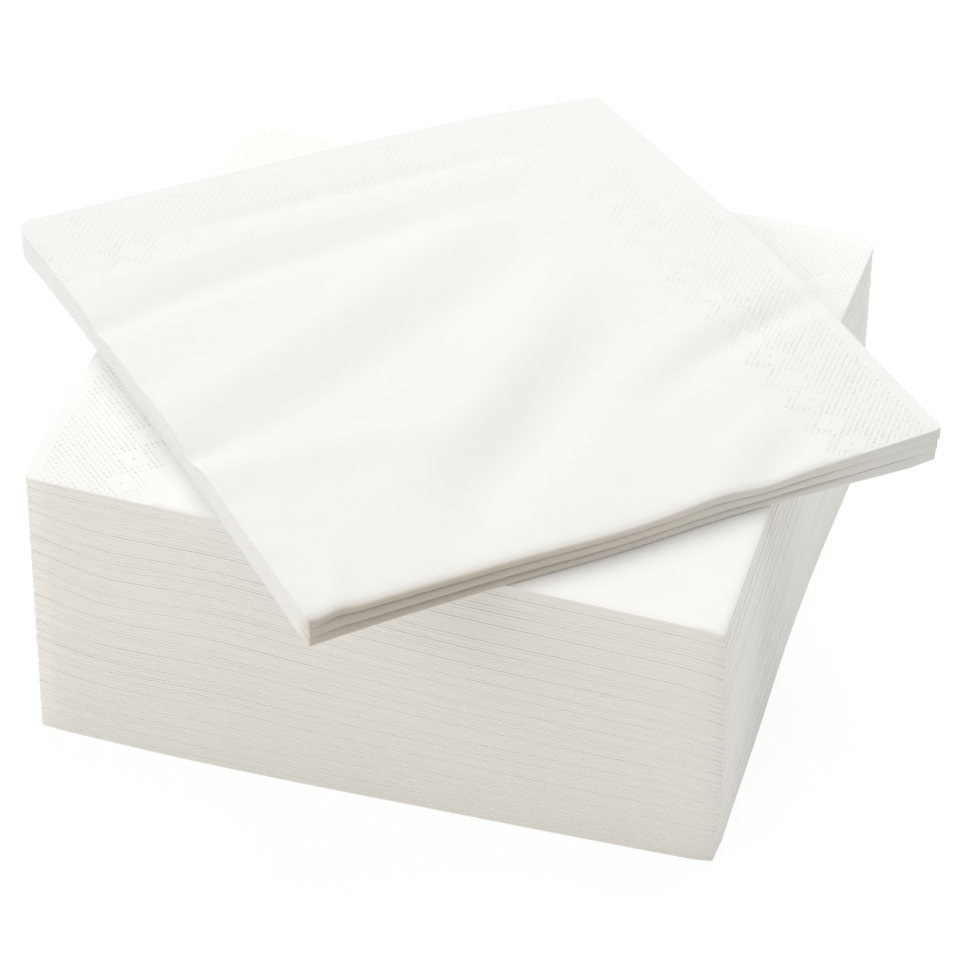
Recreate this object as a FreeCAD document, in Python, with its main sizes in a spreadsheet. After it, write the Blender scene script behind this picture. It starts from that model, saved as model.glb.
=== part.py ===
import FreeCAD, Part
import math
import os
import Sketcher
from FreeCAD import Placement, Rotation, Vector

# A stack of white paper napkins, each folded in quarters.
# A squared pile of 47 lies on its own, and a loose bundle of 3 lies on top of it, turned a part of a turn.
# Millimetres. X runs along the first folds, Y from the first folds to the open back, and Z is up.
# The origin is the middle of the pile's underside.

# Driving sizes
SIZES = {
    # the folded napkin: a 400 by 396 sheet folded in half twice
    "napkin_width": 200.0,
    "napkin_depth": 198.0,
    "layer": 0.34,
    # a napkin in the pile, pressed flat by those above it
    "slit": 0.10,
    "leaf_gap": 0.12,
    "nose_depth": 0.42,
    "crest_depth": 0.34,
    "crest_flat": 0.22,
    # a napkin in the bundle, which springs open a little
    "loose_slit": 0.40,
    "loose_gap": 0.40,
    "loose_nose_depth": 1.00,
    "loose_crest_depth": 0.46,
    # the squared pile, higher at the left and at the back where the loose edges are
    "pile_count": 47,
    "resting_gap": 0.04,
    "rise_left": 8.00,
    "rise_back": 2.65,
    "stray": 0.25,
    "stray_turn": 137.5,
    # the bundle on top
    "bundle_count": 3,
    "bundle_gap": 0.12,
    "bundle_turn": -46.2,
    "bundle_across": -1.8,
    "bundle_back": 1.7,
}

doc = FreeCAD.newDocument("paper_napkins")
sheet = doc.addObject("Spreadsheet::Sheet", "Sizes")
for row, (alias, number) in enumerate(SIZES.items(), start=1):
    sheet.set(f"A{row}", alias)
    sheet.set(f"B{row}", str(number))
    sheet.setAlias(f"B{row}", alias)
doc.recompute()


class Size:
    """A number together with the formula that ties it to the cells of the sheet."""

    def __init__(self, number, formula):
        self.number = number
        self.formula = formula

    def __add__(self, other):
        other = as_size(other)
        return Size(self.number + other.number, f"({self.formula} + {other.formula})")

    def __sub__(self, other):
        other = as_size(other)
        return Size(self.number - other.number, f"({self.formula} - {other.formula})")

    def __mul__(self, other):
        other = as_size(other)
        return Size(self.number * other.number, f"({self.formula} * {other.formula})")

    def __truediv__(self, other):
        other = as_size(other)
        return Size(self.number / other.number, f"({self.formula} / {other.formula})")

    def __neg__(self):
        return Size(-self.number, f"(0 - {self.formula})")


def as_size(value):
    """A plain number as a size of its own."""
    return value if isinstance(value, Size) else Size(float(value), str(value))


def cell(alias):
    """The size in one cell of the sheet."""
    return Size(float(sheet.get(alias)), f"Sizes.{alias}")


def root(size):
    """The square root of a size."""
    return Size(math.sqrt(size.number), f"sqrt({size.formula})")


WIDTH = cell("napkin_width")
DEPTH = cell("napkin_depth")
LAYER = cell("layer")
LEFT = -WIDTH / 2
RIGHT = WIDTH / 2
FRONT = -DEPTH / 2
BACK = DEPTH / 2
GROUND = as_size(0)


# The shape of a folded napkin
class FoldShape:
    """The sizes of one kind of folded napkin, seen along its two folds."""

    def __init__(self, slit, gap, nose_depth, crest_depth):
        self.slit = slit
        self.crest_depth = crest_depth
        # two layers and the slit between them make a leaf, and two leaves make the napkin
        self.leaf = LAYER * 2 + slit
        self.thickness = self.leaf * 2 + gap
        self.middle = self.thickness / 2
        # the second fold bulges to the right as an arc from the bottom face to the top face
        self.nose_depth = nose_depth
        self.nose_radius = (self.middle * self.middle + nose_depth * nose_depth) / (nose_depth * 2)
        self.nose_centre = RIGHT - self.nose_radius

    def arc_end(self, inset):
        """Where the fold's arc meets a face that lies this far inside the napkin."""
        radius = self.nose_radius - inset
        rise = self.middle - inset
        return self.nose_centre + root(radius * radius - rise * rise)


PRESSED = FoldShape(cell("slit"), cell("leaf_gap"), cell("nose_depth"), cell("crest_depth"))
LOOSE = FoldShape(cell("loose_slit"), cell("loose_gap"), cell("loose_nose_depth"), cell("loose_crest_depth"))


# Sketch helpers
def origin_plane(body, role):
    """One of the body's own origin planes."""
    return next(feature for feature in body.Origin.OriginFeatures if feature.Role == role)


def new_sketch(body, name, role):
    """An empty sketch on an origin plane of the body."""
    sketch = body.newObject("Sketcher::SketchObject", name)
    sketch.AttachmentSupport = [(origin_plane(body, role), "")]
    sketch.MapMode = "FlatFace"
    return sketch


def pin(sketch, edge, end, point):
    """Ties one end of an edge to a point given as two sizes."""
    for kind, size in zip(("DistanceX", "DistanceY"), point):
        index = sketch.addConstraint(Sketcher.Constraint(kind, -1, 1, edge, end, size.number))
        sketch.setExpression(f"Constraints[{index}]", size.formula)


def draw_outline(sketch, corners, arcs=None):
    """Draws a closed outline through the corners, as lines or, where arcs says so, as an arc.

    arcs maps the number of the corner that an arc starts from to its centre and its direction.
    """
    arcs = arcs or {}
    count = len(corners)
    first = sketch.GeometryCount
    ends = []
    for number, corner in enumerate(corners):
        following = corners[(number + 1) % count]
        start = Vector(corner[0].number, corner[1].number, 0)
        finish = Vector(following[0].number, following[1].number, 0)
        if number not in arcs:
            sketch.addGeometry(Part.LineSegment(start, finish))
            ends.append((1, 2))
            continue
        centre, rising = arcs[number]
        low, high = (start, finish) if rising else (finish, start)
        middle = Vector(centre[0].number, centre[1].number, 0)
        circle = Part.Circle(middle, Vector(0, 0, 1), (low - middle).Length)
        angles = [math.atan2(end.y - middle.y, end.x - middle.x) for end in (low, high)]
        sketch.addGeometry(Part.ArcOfCircle(circle, angles[0], angles[1]))
        ends.append((1, 2) if rising else (2, 1))
    for number in range(count):
        following = (number + 1) % count
        sketch.addConstraint(Sketcher.Constraint(
            "Coincident", first + number, ends[number][1], first + following, ends[following][0]))
    for number, corner in enumerate(corners):
        pin(sketch, first + number, ends[number][0], corner)
    for number, (centre, rising) in arcs.items():
        index = sketch.addConstraint(Sketcher.Constraint(
            "DistanceX", -1, 1, first + number, 3, centre[0].number))
        sketch.setExpression(f"Constraints[{index}]", centre[0].formula)


# The three cuts of the sheet's fold
def add_leaves(body, shape):
    """Two leaves joined at the right by the second fold, which opens to the left as a thin wedge."""
    sketch = new_sketch(body, "second_fold", "XZ_Plane")
    low = (shape.arc_end(as_size(0)), GROUND)
    high = (shape.arc_end(as_size(0)), shape.thickness)
    corners = [
        (LEFT, GROUND), low, high, (LEFT, shape.thickness),
        (LEFT, shape.thickness - shape.leaf), (RIGHT - shape.leaf, shape.middle), (LEFT, shape.leaf),
    ]
    draw_outline(sketch, corners, {1: ((shape.nose_centre, shape.middle), True)})
    leaves = body.newObject("PartDesign::Pad", "leaves")
    leaves.Profile = sketch
    leaves.Midplane = True
    leaves.setExpression("Length", DEPTH.formula)
    return leaves


def add_slit(body, shape):
    """The slit between the layers runs round the second fold and stops short of the first."""
    sketch = new_sketch(body, "between_layers", "XZ_Plane")
    sketch.setExpression("AttachmentOffset.Base.z", FRONT.formula)
    outer = LAYER
    inner = LAYER + shape.slit
    outer_end = shape.arc_end(outer)
    inner_end = shape.arc_end(inner)
    corners = [
        (LEFT, outer), (outer_end, outer), (outer_end, shape.thickness - outer),
        (LEFT, shape.thickness - outer), (LEFT, shape.thickness - inner),
        (inner_end, shape.thickness - inner), (inner_end, inner), (LEFT, inner),
    ]
    centre = (shape.nose_centre, shape.middle)
    draw_outline(sketch, corners, {1: (centre, True), 5: (centre, False)})
    slit = body.newObject("PartDesign::Pocket", "slit")
    slit.Profile = sketch
    slit.Reversed = True
    slit.setExpression("Length", (DEPTH - shape.crest_depth - LAYER).formula)
    return slit


def add_crests(body, shape):
    """The first fold shows at the front as one crest on each leaf, bevelled above and below."""
    sketch = new_sketch(body, "first_fold", "YZ_Plane")
    flat = cell("crest_flat")
    root_line = FRONT + shape.crest_depth
    low_crest = (shape.leaf / 2 - flat / 2, shape.leaf / 2 + flat / 2)
    high_crest = (shape.thickness - low_crest[1], shape.thickness - low_crest[0])
    draw_outline(sketch, [(FRONT, GROUND), (root_line, GROUND), (FRONT, low_crest[0])])
    draw_outline(sketch, [(FRONT, low_crest[1]), (root_line, shape.middle), (FRONT, high_crest[0])])
    draw_outline(sketch, [(FRONT, high_crest[1]), (root_line, shape.thickness), (FRONT, shape.thickness)])
    crests = body.newObject("PartDesign::Pocket", "crests")
    crests.Profile = sketch
    crests.Midplane = True
    crests.Type = "ThroughAll"
    return crests


def folded_napkin(label, shape):
    """One napkin as a body of its own, lying with its underside at the origin."""
    body = doc.addObject("PartDesign::Body", label)
    body.Label = label
    add_leaves(body, shape)
    add_slit(body, shape)
    add_crests(body, shape)
    return body


# How the napkins lie
PILE_COUNT = cell("pile_count")
RISE_LEFT = cell("rise_left")
RISE_BACK = cell("rise_back")
PITCH = PRESSED.thickness + cell("resting_gap")
LOOSE_PITCH = LOOSE.thickness + cell("bundle_gap")
LEAN_LEFT = RISE_LEFT / WIDTH
LEAN_BACK = RISE_BACK / DEPTH
STEEPNESS = root(LEAN_LEFT * LEAN_LEFT + LEAN_BACK * LEAN_BACK)


def lie(body, across, back, up, share, turn):
    """Places a napkin on the plane that has this share of the pile's whole lean, turned about the upright."""
    place = f"create(<<vector>>; {across.formula}; {back.formula}; {up.formula})"
    axis = f"create(<<vector>>; {LEAN_BACK.formula}; {LEAN_LEFT.formula}; 0)"
    lean = f"create(<<rotation>>; {axis}; atan({(STEEPNESS * share).formula}))"
    spin = f"create(<<rotation>>; create(<<vector>>; 0; 0; 1); {turn.formula})"
    body.setExpression("Placement", f"create(<<placement>>; {place}; {lean} * {spin})")


def height_at_middle(count):
    """The height of the pile's middle after this many napkins, each a little thicker at the left and back."""
    return PITCH * count + (RISE_LEFT + RISE_BACK) * count / PILE_COUNT / 2


napkins = []
for number in range(int(PILE_COUNT.number)):
    napkin = folded_napkin(f"napkin_{number + 1:02d}", PRESSED)
    direction = f"({number} * Sizes.stray_turn)"
    across = Size(0, f"(Sizes.stray * cos({direction}))")
    back = Size(0, f"(Sizes.stray * sin({direction}))")
    lie(napkin, across, back, height_at_middle(number), as_size(number) / PILE_COUNT, as_size(0))
    napkins.append(napkin)

for number in range(int(sheet.get("bundle_count"))):
    napkin = folded_napkin(f"top_napkin_{number + 1}", LOOSE)
    across = cell("bundle_across")
    back = cell("bundle_back")
    up = height_at_middle(PILE_COUNT) - LEAN_LEFT * across + LEAN_BACK * back + LOOSE_PITCH * number
    lie(napkin, across, back, up, as_size(1), cell("bundle_turn"))
    napkins.append(napkin)

doc.recompute()

# Every object has to be sound before anything is written
for item in doc.Objects:
    if "Invalid" in item.State or "Error" in item.State:
        raise RuntimeError(f"{item.Label} did not compute: {item.State}")
for napkin in napkins:
    if napkin.Shape.isNull() or not napkin.Shape.isValid() or len(napkin.Shape.Solids) != 1:
        raise RuntimeError(f"{napkin.Label} is not one sound solid")

os.makedirs("parts", exist_ok=True)
for napkin in napkins:
    napkin.Shape.exportStep(f"parts/{napkin.Label}.step")
total = sum(napkin.Shape.Volume for napkin in napkins)
print(f"{len(napkins)} napkins, {total / 1000:.1f} cubic centimetres of paper and trapped air")
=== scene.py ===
# %% [markdown]
# # A stack of paper napkins
# The object is a squared pile of white quarter-folded tissue napkins, with three more lying loose and turned
# on top. Every napkin is one sheet of tissue. The imported CAD model gives each one its place, so the frame is
# loaded first.

# %% Load the frame
import math
import bpy
import numpy as np
from mathutils import Matrix, Vector


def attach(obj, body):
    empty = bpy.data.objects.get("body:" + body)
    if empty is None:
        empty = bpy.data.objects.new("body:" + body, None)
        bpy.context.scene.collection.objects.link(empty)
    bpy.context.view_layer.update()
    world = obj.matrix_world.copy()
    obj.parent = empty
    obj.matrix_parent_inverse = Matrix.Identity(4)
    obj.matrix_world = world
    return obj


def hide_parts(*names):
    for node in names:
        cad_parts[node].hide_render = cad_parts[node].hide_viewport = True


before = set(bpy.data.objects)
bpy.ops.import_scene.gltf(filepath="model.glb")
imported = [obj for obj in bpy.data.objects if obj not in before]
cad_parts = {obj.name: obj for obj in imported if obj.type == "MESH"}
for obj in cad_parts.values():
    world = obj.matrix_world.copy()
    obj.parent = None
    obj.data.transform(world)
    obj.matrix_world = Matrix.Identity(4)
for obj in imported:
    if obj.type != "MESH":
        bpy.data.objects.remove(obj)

MM = 0.001
scene = bpy.context.scene
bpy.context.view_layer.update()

# %% [markdown]
# ## The view
# The photograph looks down at the pile from a little right of its front. A long lens far away keeps the
# edges nearly parallel. The camera is turned by three unit vectors: where its right, its top and its back
# point. That says more than three angles do.

# %% Place the camera
LENS = 133.92
DISTANCE = 1.1415
AIM = Vector((-0.01179, 0.05512, 0.0))
AZIMUTH = math.radians(15.43)
ELEVATION = math.radians(36.17)
ROLL = math.radians(1.23)

camera_back = Vector((
    math.sin(AZIMUTH) * math.cos(ELEVATION),
    -math.cos(AZIMUTH) * math.cos(ELEVATION),
    math.sin(ELEVATION),
))
level_right = Vector((math.cos(AZIMUTH), math.sin(AZIMUTH), 0.0))
level_up = camera_back.cross(level_right)
camera_right = level_right * math.cos(ROLL) + level_up * math.sin(ROLL)
camera_up = level_up * math.cos(ROLL) - level_right * math.sin(ROLL)

camera_data = bpy.data.cameras.new("camera")
camera_data.lens = LENS
camera_data.clip_end = 50.0
camera = bpy.data.objects.new("camera", camera_data)
turn = Matrix((camera_right, camera_up, camera_back)).transposed()
camera.matrix_world = Matrix.Translation(AIM + camera_back * DISTANCE) @ turn.to_4x4()
scene.collection.objects.link(camera)
scene.camera = camera
print("camera at", [round(c, 3) for c in camera.matrix_world.translation])

# %% [markdown]
# ## One helper for every node
# Materials, the world and Geometry Nodes are all trees of nodes. One function adds a node, sets its
# properties, and fills its inputs with a value or a link. A second one turns an sRGB hex colour into the
# linear numbers that Blender works with.

# %% Add a node, and read a colour
def add(tree, kind, inputs=None, **settings):
    """Adds a node. An input is a value, a socket, or a node whose first output is used."""
    node = tree.nodes.new(kind)
    for name, value in settings.items():
        setattr(node, name, value)
    for socket, value in (inputs or {}).items():
        source = value.outputs[0] if isinstance(value, bpy.types.Node) else value
        if isinstance(source, bpy.types.NodeSocket):
            tree.links.new(source, node.inputs[socket])
        else:
            node.inputs[socket].default_value = source
    return node


def linear(hex_colour):
    """An sRGB hex colour as linear red, green, blue and alpha."""
    parts = [int(hex_colour[at:at + 2], 16) / 255 for at in (1, 3, 5)]
    return [c / 12.92 if c <= 0.04045 else ((c + 0.055) / 1.055) ** 2.4 for c in parts] + [1.0]


print("a mid grey is", round(linear("#808080")[0], 3), "in linear light")

# %% [markdown]
# ## Light, floor and background
# White paper needs soft light. In the photograph the top and the bundle's front left side are the brightest,
# the pile's front is a step darker, and the right side darker again. So the sky gives most of the light
# evenly. One large soft lamp stands low at the left, a little to the front, where a window would be, and a
# weaker one high behind the pile shades the top's soft waves. The background is white because the camera sees
# the sky and most of the floor at strength 1. The floor keeps part of its own shading, so the pile still has
# its faint shadow.

# %% Set the sky and the lamps
SKY_LIGHT = 0.59
LAMP_AIM = Vector((0.0, 0.0, 0.05))
LAMPS = {
    "window_left": {"place": Vector((-1.85, -1.10, 1.15)), "size": 2.0, "watts": 16.8},
    "high_behind": {"place": Vector((0.05, 0.80, 1.50)), "size": 1.6, "watts": 12.6},
}

scene.view_settings.view_transform = "Standard"


def seen_directly(tree):
    """1 on a ray from the camera, a reflection or a clear material, and 0 on one that only carries light."""
    ray = add(tree, "ShaderNodeLightPath")
    seen = add(tree, "ShaderNodeMath", {
        0: ray.outputs["Is Camera Ray"],
        1: ray.outputs["Is Glossy Ray"],
    }, operation="MAXIMUM")
    return add(tree, "ShaderNodeMath", {0: seen, 1: ray.outputs["Is Transmission Ray"]}, operation="MAXIMUM")


sky = bpy.data.worlds.new("soft_studio")
scene.world = sky
sky.use_nodes = True
sky.node_tree.nodes.clear()
seen = seen_directly(sky.node_tree)
strength = add(sky.node_tree, "ShaderNodeMapRange", {"Value": seen, "To Min": SKY_LIGHT, "To Max": 1.0})
glow = add(sky.node_tree, "ShaderNodeBackground", {"Color": linear("#FFFFFF"), "Strength": strength})
add(sky.node_tree, "ShaderNodeOutputWorld", {"Surface": glow})

for name, lamp_facts in LAMPS.items():
    lamp_data = bpy.data.lights.new(name, "AREA")
    lamp_data.shape = "DISK"
    lamp_data.size = lamp_facts["size"]
    lamp_data.energy = lamp_facts["watts"]
    lamp = bpy.data.objects.new(name, lamp_data)
    lamp.location = lamp_facts["place"]
    lamp.rotation_euler = (LAMP_AIM - lamp_facts["place"]).to_track_quat("-Z", "Y").to_euler()
    scene.collection.objects.link(lamp)
    print(name, "gives", lamp_facts["watts"], "W")

# %% Lay the floor
FLOOR_HALF = 4.0
FLOOR_GLOW = 1.08
FLOOR_GLOW_SHARE = 0.78

floor_white = bpy.data.materials.new("painted_white_floor")
floor_white.use_nodes = True
tree = floor_white.node_tree
tree.nodes.clear()
seen = seen_directly(tree)
share = add(tree, "ShaderNodeMath", {0: seen, 1: FLOOR_GLOW_SHARE}, operation="MULTIPLY")
paint = add(tree, "ShaderNodeBsdfDiffuse", {"Color": linear("#F6F6F5")})
shine = add(tree, "ShaderNodeEmission", {"Color": linear("#FFFFFF"), "Strength": FLOOR_GLOW})
surface = add(tree, "ShaderNodeMixShader", {0: share, 1: paint, 2: shine})
add(tree, "ShaderNodeOutputMaterial", {"Surface": surface})

floor_mesh = bpy.data.meshes.new("floor")
corners = [(-1, -1), (1, -1), (1, 1), (-1, 1)]
floor_mesh.from_pydata([(x * FLOOR_HALF, y * FLOOR_HALF, 0.0) for x, y in corners], [], [(0, 1, 2, 3)])
floor_mesh.materials.append(floor_white)
floor = bpy.data.objects.new("floor", floor_mesh)
scene.collection.objects.link(floor)
print("floor", 2 * FLOOR_HALF, "m wide")

# %% [markdown]
# ## The paper
# A dinner napkin is three-ply tissue: soft wood fibre, creped, bleached and not coated. It has no gloss at
# all. Close up it shows faint cloudy patches where the fibres lie thicker, a few millimetres across, and a
# fine grain from the crepe, a few tenths of a millimetre across. In the pile the sheets are pressed smooth.
# The loose ones have a little more grain, and their whites are painted a step greyer than the pressed ones:
# painted shade that dims the loose bundle. Along the folds and loose edges the colour is painted warmer and
# darker: painted shade for the gaps between the layers there, with the warm tint of light that has passed
# through several layers. An attribute on the mesh, named painted_fold_shade, says how near a point is to a
# fold or an edge, and the colour follows it. The embossed dots are painted greyer as well, as painted shade
# in their pits.

# %% Make the two tissue finishes
CREPE_GRAIN = 0.45 * MM
FIBRE_CLOUD = 7.0 * MM


def tissue(name, thick_colour, thin_colour, painted_fold_colour, dot_shade_colour, grain_depth):
    """Three-ply tissue: two whites in clouds, a warmer, darker fold colour of painted shade, a greyer dot
    colour of painted shade, and a grain this deep.
    """
    paper = bpy.data.materials.new(name)
    paper.use_nodes = True
    tree = paper.node_tree
    tree.nodes.clear()
    place = add(tree, "ShaderNodeTexCoord").outputs["Object"]
    cloud = add(tree, "ShaderNodeTexNoise", {
        "Vector": place,
        "Scale": 1.0 / FIBRE_CLOUD,
        "Detail": 3.0,
        "Roughness": 0.6,
    })
    patches = add(tree, "ShaderNodeMapRange", {"Value": cloud, "From Min": 0.3, "From Max": 0.7})
    colour = add(tree, "ShaderNodeMix", {0: patches, 6: linear(thick_colour), 7: linear(thin_colour)},
                 data_type="RGBA")
    # Painted shade, with the warm tint of light through several layers, along the folds and loose edges.
    warmth = add(tree, "ShaderNodeAttribute", attribute_name="painted_fold_shade")
    colour = add(tree, "ShaderNodeMix", {
        0: warmth.outputs["Fac"],
        6: colour.outputs[2],
        7: linear(painted_fold_colour),
    }, data_type="RGBA")
    # Painted shade in the pits of the embossed dots.
    press = add(tree, "ShaderNodeAttribute", attribute_name="dot_press_and_shade")
    colour = add(tree, "ShaderNodeMix", {
        0: press.outputs["Fac"],
        6: colour.outputs[2],
        7: linear(dot_shade_colour),
    }, data_type="RGBA")
    grain = add(tree, "ShaderNodeTexNoise", {
        "Vector": place,
        "Scale": 1.0 / CREPE_GRAIN,
        "Detail": 2.0,
        "Roughness": 0.7,
    })
    bump = add(tree, "ShaderNodeBump", {"Height": grain, "Distance": grain_depth, "Strength": 0.6})
    shader = add(tree, "ShaderNodeBsdfPrincipled", {
        "Base Color": colour.outputs[2],
        "Roughness": 0.95,
        "IOR": 1.45,
        "Specular IOR Level": 0.15,
        "Normal": bump,
    })
    add(tree, "ShaderNodeOutputMaterial", {"Surface": shader})
    return paper


pressed_tissue = tissue("pressed_three_ply_tissue", "#FAF9F6", "#F9F8F5", "#F5F1EA", "#CFCBC3", 0.05 * MM)
# The loose whites are painted a step greyer than the pressed ones: painted shade that dims the loose bundle.
shaded_loose_tissue = tissue("loose_three_ply_tissue_painted_shade", "#F3F2EF", "#F2F1EE", "#CFC4B4", "#E2E0DB", 0.06 * MM)
print("finishes:", pressed_tissue.name, "and", shaded_loose_tissue.name)

# %% [markdown]
# ## One sheet, folded twice
# A napkin could be built as stacked slabs, but then its folds would be wrong where they meet. Here it is made
# as the real one is: a thin flat box stands for the sheet, and the sheet is bent twice. The first fold brings
# the back half over the front half. The second one brings the left half over the right half. A bend needs
# only a sine and a cosine: on the fold the paper turns round a centre, and past it the paper runs straight.
# A pressed fold bulges out less than it is high, so its cosine is made smaller.
#
# The box is laid out in steps, not in millimetres, so that each part of the sheet can have steps of its own
# size: fine ones round the folds, and evenly spaced ones on the straight parts.
#
# Along its two loose edges the real napkin has an embossed border: rows of dots, and a row of blank diamonds
# with one dot at the heart of each. The dots lie on every fourth diagonal of the fine steps. Each one has a
# depth of its own and strays a little from its place, and the points beside it are raised a very little. All
# are shallower near the corner where the two borders meet. Away from the border such fine steps aren't
# needed, so there the points are drawn together onto wider steps and merged.

# %% Sizes of a napkin
NAPKIN_WIDTH = 200.0 * MM
NAPKIN_DEPTH = 198.0 * MM
LAYER = 0.34 * MM

PRESSED = {"Slit": 0.10 * MM, "Leaf Gap": 0.12 * MM, "Fold Bulge": 0.22}
LOOSE = {"Slit": 0.40 * MM, "Leaf Gap": 0.40 * MM, "Fold Bulge": 0.8}


def thickness(make):
    """The height of one folded napkin: two leaves of two layers, their slits, and the gap between them."""
    return 4 * LAYER + 2 * make["Slit"] + make["Leaf Gap"]


print("a pressed napkin is", round(thickness(PRESSED) / MM, 2), "mm thick")
print("a loose napkin is", round(thickness(LOOSE) / MM, 2), "mm thick")

# %% Start the folding tree with its named sizes
fold_tree = bpy.data.node_groups.new("fold_a_sheet_twice", "GeometryNodeTree")
fold_tree.is_modifier = True
sockets = fold_tree.interface
sockets.new_socket("Geometry", in_out="INPUT", socket_type="NodeSocketGeometry")
for name in ("Width", "Depth", "Layer", "Slit", "Leaf Gap", "Fold Bulge", "Dot Depth", "Dot At Corner",
             "Dot Across", "Dot Back"):
    sockets.new_socket(name, in_out="INPUT", socket_type="NodeSocketFloat")
for name in ("Columns Above", "Columns Below", "Rows Above", "Rows Below", "Fold Steps", "Fine Steps",
             "Wide Step", "Border Start", "Border Reach", "Diamond Row", "Diamond Half", "Diamond Period",
             "Diamond Shift"):
    sockets.new_socket(name, in_out="INPUT", socket_type="NodeSocketInt")
sockets.new_socket("Paper", in_out="INPUT", socket_type="NodeSocketMaterial")
sockets.new_socket("Geometry", in_out="OUTPUT", socket_type="NodeSocketGeometry")
given = add(fold_tree, "NodeGroupInput").outputs
print("named inputs:", [item.name for item in sockets.items_tree if item.in_out == "INPUT"][1:])

# %% The flat sheet, in steps
columns = add(fold_tree, "ShaderNodeMath", {0: given["Columns Above"], 1: given["Columns Below"]},
              operation="ADD")
columns = add(fold_tree, "ShaderNodeMath", {0: columns, 1: given["Fold Steps"]}, operation="ADD")
rows = add(fold_tree, "ShaderNodeMath", {0: given["Rows Above"], 1: given["Rows Below"]}, operation="ADD")
rows = add(fold_tree, "ShaderNodeMath", {0: rows, 1: given["Fold Steps"]}, operation="ADD")
column_points = add(fold_tree, "ShaderNodeMath", {0: columns, 1: 1.0}, operation="ADD")
row_points = add(fold_tree, "ShaderNodeMath", {0: rows, 1: 1.0}, operation="ADD")
flat_size = add(fold_tree, "ShaderNodeCombineXYZ", {0: columns, 1: rows, 2: 1.0})
flat_box = add(fold_tree, "GeometryNodeMeshCube", {
    "Size": flat_size,
    "Vertices X": column_points,
    "Vertices Y": row_points,
    "Vertices Z": 2,
})
half_box = add(fold_tree, "ShaderNodeVectorMath", {0: flat_size, 1: (0.5, 0.5, 0.0)}, operation="MULTIPLY")
at = add(fold_tree, "GeometryNodeInputPosition")
at_step = add(fold_tree, "ShaderNodeVectorMath", {0: at, 1: half_box}, operation="ADD")
step = add(fold_tree, "ShaderNodeSeparateXYZ", {0: at_step})
print("flat sheet nodes:", len(fold_tree.nodes))

# %% Draw the points inside the border together
nearest_edge = add(fold_tree, "ShaderNodeMath", {0: step.outputs[0], 1: step.outputs[1]}, operation="MINIMUM")
past_border = add(fold_tree, "FunctionNodeCompare", {0: nearest_edge, 1: given["Fine Steps"]},
                  operation="GREATER_THAN")
inner_side = add(fold_tree, "FunctionNodeCompare", {0: step.outputs[2], 1: 0.0}, operation="LESS_THAN")
other_leaf = add(fold_tree, "FunctionNodeCompare", {0: step.outputs[0], 1: given["Columns Above"]},
                 operation="GREATER_THAN")
other_layer = add(fold_tree, "FunctionNodeCompare", {0: step.outputs[1], 1: given["Rows Above"]},
                  operation="GREATER_THAN")
plain = add(fold_tree, "FunctionNodeBooleanMath", {0: past_border, 1: inner_side}, operation="OR")
plain = add(fold_tree, "FunctionNodeBooleanMath", {0: plain, 1: other_leaf}, operation="OR")
plain = add(fold_tree, "FunctionNodeBooleanMath", {0: plain, 1: other_layer}, operation="OR")
half_step = add(fold_tree, "ShaderNodeMath", {0: given["Wide Step"], 1: 0.5}, operation="MULTIPLY")
wide = []
for axis, straight in ((0, "Columns Above"), (1, "Rows Above")):
    moved = add(fold_tree, "ShaderNodeMath", {0: step.outputs[axis], 1: half_step}, operation="ADD")
    snapped = add(fold_tree, "ShaderNodeMath", {0: moved, 1: given["Wide Step"]}, operation="SNAP")
    straight_on = add(fold_tree, "FunctionNodeCompare", {0: step.outputs[axis], 1: given[straight]},
                      operation="LESS_EQUAL")
    wide.append(add(fold_tree, "GeometryNodeSwitch", {
        "Switch": straight_on,
        "False": step.outputs[axis],
        "True": snapped,
    }, input_type="FLOAT"))
wide_step = add(fold_tree, "ShaderNodeCombineXYZ", {0: wide[0], 1: wide[1], 2: step.outputs[2]})
in_steps = add(fold_tree, "GeometryNodeSwitch", {"Switch": plain, "False": at_step, "True": wide_step},
               input_type="VECTOR")
drawn = add(fold_tree, "GeometryNodeSetPosition", {"Geometry": flat_box, "Position": in_steps})
merged = add(fold_tree, "GeometryNodeMergeByDistance", {"Geometry": drawn, "Distance": 0.01})
print("with the wider steps:", len(fold_tree.nodes))

# %% Choose where a dot is pressed in
here = add(fold_tree, "ShaderNodeSeparateXYZ", {0: add(fold_tree, "GeometryNodeInputPosition")})
across_step = add(fold_tree, "ShaderNodeMath", {0: here.outputs[0]}, operation="ROUND")
back_step = add(fold_tree, "ShaderNodeMath", {0: here.outputs[1]}, operation="ROUND")
here_step = add(fold_tree, "ShaderNodeCombineXYZ", {0: across_step, 1: back_step})
side = here.outputs[2]
from_edge = add(fold_tree, "ShaderNodeMath", {0: across_step, 1: back_step}, operation="MINIMUM")
along_edge = add(fold_tree, "ShaderNodeMath", {0: across_step, 1: back_step}, operation="MAXIMUM")

both = add(fold_tree, "ShaderNodeMath", {0: across_step, 1: back_step}, operation="ADD")
every_fourth = add(fold_tree, "ShaderNodeMath", {0: both, 1: 4.0}, operation="FLOORED_MODULO")
every_second = add(fold_tree, "ShaderNodeMath", {0: across_step, 1: 2.0}, operation="FLOORED_MODULO")
off_dot = add(fold_tree, "ShaderNodeMath", {0: every_fourth, 1: every_second}, operation="ADD")
on_row = add(fold_tree, "FunctionNodeCompare", {0: off_dot, 1: 0.1}, operation="LESS_THAN")
beside_dot = add(fold_tree, "ShaderNodeMath", {0: both, 1: 2.0}, operation="FLOORED_MODULO")

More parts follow.
